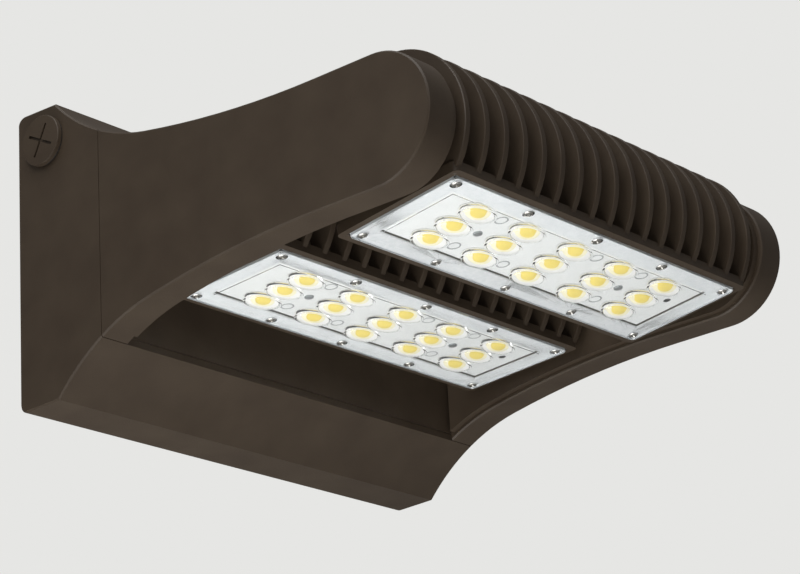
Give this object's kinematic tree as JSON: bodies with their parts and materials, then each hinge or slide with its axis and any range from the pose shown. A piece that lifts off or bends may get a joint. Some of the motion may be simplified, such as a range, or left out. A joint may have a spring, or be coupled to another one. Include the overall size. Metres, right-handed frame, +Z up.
{
  "type": "wall pack light",
  "caption": "Outdoor wall light: cast wall box, two round-ended arms, and two tilting LED modules with round-finned heatsinks between them.",
  "frame": {"origin": "on the wall, at the middle of the wall box's back face", "axes": "+X to the right as seen from the front, -Y out of the wall, +Z up"},
  "size_m": [0.3624, 0.3395, 0.1996],
  "materials": {
    "bronze_coat": "die-cast aluminium, dark bronze powder coat",
    "bare_aluminium": "machined aluminium",
    "stainless": "stainless steel, bright",
    "zinc_steel": "zinc-plated steel",
    "driver_case": "extruded aluminium case, satin",
    "black_plastic": "moulded nylon",
    "grey_plastic": "moulded nylon",
    "plated_brass": "nickel-plated brass",
    "green_steel": "green steel screw",
    "black_foam": "closed-cell foam",
    "black_rubber": "moulded rubber",
    "grey_silicone": "silicone gasket",
    "white_silicone": "white silicone gasket",
    "black_wire": "insulated wire",
    "white_wire": "insulated wire",
    "red_wire": "insulated wire",
    "green_wire": "insulated wire",
    "acetal": "acetal",
    "white_board": "aluminium-core board with white lacquer",
    "led_phosphor": "silicone dome over phosphor, unlit",
    "clear_acrylic": "clear moulded acrylic"
  },
  "bodies": {
    "fixture": {"arm_cover_left": "bronze_coat", "arm_cover_right": "bronze_coat", "arm_cover_screws": "stainless", "conduit_plug_left": "bronze_coat", "conduit_plug_right": "bronze_coat", "driver_bracket": "zinc_steel", "driver_input_wires": "white_wire", "frame_gasket": "grey_silicone", "frame_screws": "stainless", "friction_washers": "acetal", "front_arm_lead": "black_wire", "front_frame": "bronze_coat", "gear_screws": "zinc_steel", "ground_screw": "green_steel", "ground_wire": "green_wire", "led_driver": "driver_case", "plug_rings": "black_rubber", "rear_arm_lead": "black_wire", "supply_wires": "black_wire", "surge_protector": "grey_plastic", "surge_wires": "red_wire", "terminal_block": "black_plastic", "terminal_screws": "plated_brass", "wall_box": "bronze_coat", "wall_seal": "black_foam", "wire_grommet": "black_rubber"},
    "front_module": {"front_board_screws": "zinc_steel", "front_cable_gland": "black_plastic", "front_heatsink": "bronze_coat", "front_hub_screws": "stainless", "front_led_board": "white_board", "front_leds": "led_phosphor", "front_lens_gasket": "white_silicone", "front_lens_plate": "clear_acrylic", "front_lens_screws": "stainless", "front_lock_nuts": "zinc_steel", "front_module_lead": "black_wire", "front_pivot_hub_left": "bare_aluminium", "front_pivot_hub_right": "bare_aluminium"},
    "rear_module": {"rear_board_screws": "zinc_steel", "rear_cable_gland": "black_plastic", "rear_heatsink": "bronze_coat", "rear_hub_screws": "stainless", "rear_led_board": "white_board", "rear_leds": "led_phosphor", "rear_lens_gasket": "white_silicone", "rear_lens_plate": "clear_acrylic", "rear_lens_screws": "stainless", "rear_lock_nuts": "zinc_steel", "rear_module_lead": "black_wire", "rear_pivot_hub_left": "bare_aluminium", "rear_pivot_hub_right": "bare_aluminium"}
  },
  "joints": [
    {"name": "front_module_tilt", "type": "hinge", "parent": "fixture", "child": "front_module", "pos_m": [0, -0.284, 0.002], "axis": [-1, 0, 0], "range_deg": [-37.8, 37.2]},
    {"name": "rear_module_tilt", "type": "hinge", "parent": "fixture", "child": "rear_module", "pos_m": [0, -0.151, 0.0005], "axis": [-1, 0, 0], "range_deg": [-33.6, 41.4]}
  ]
}
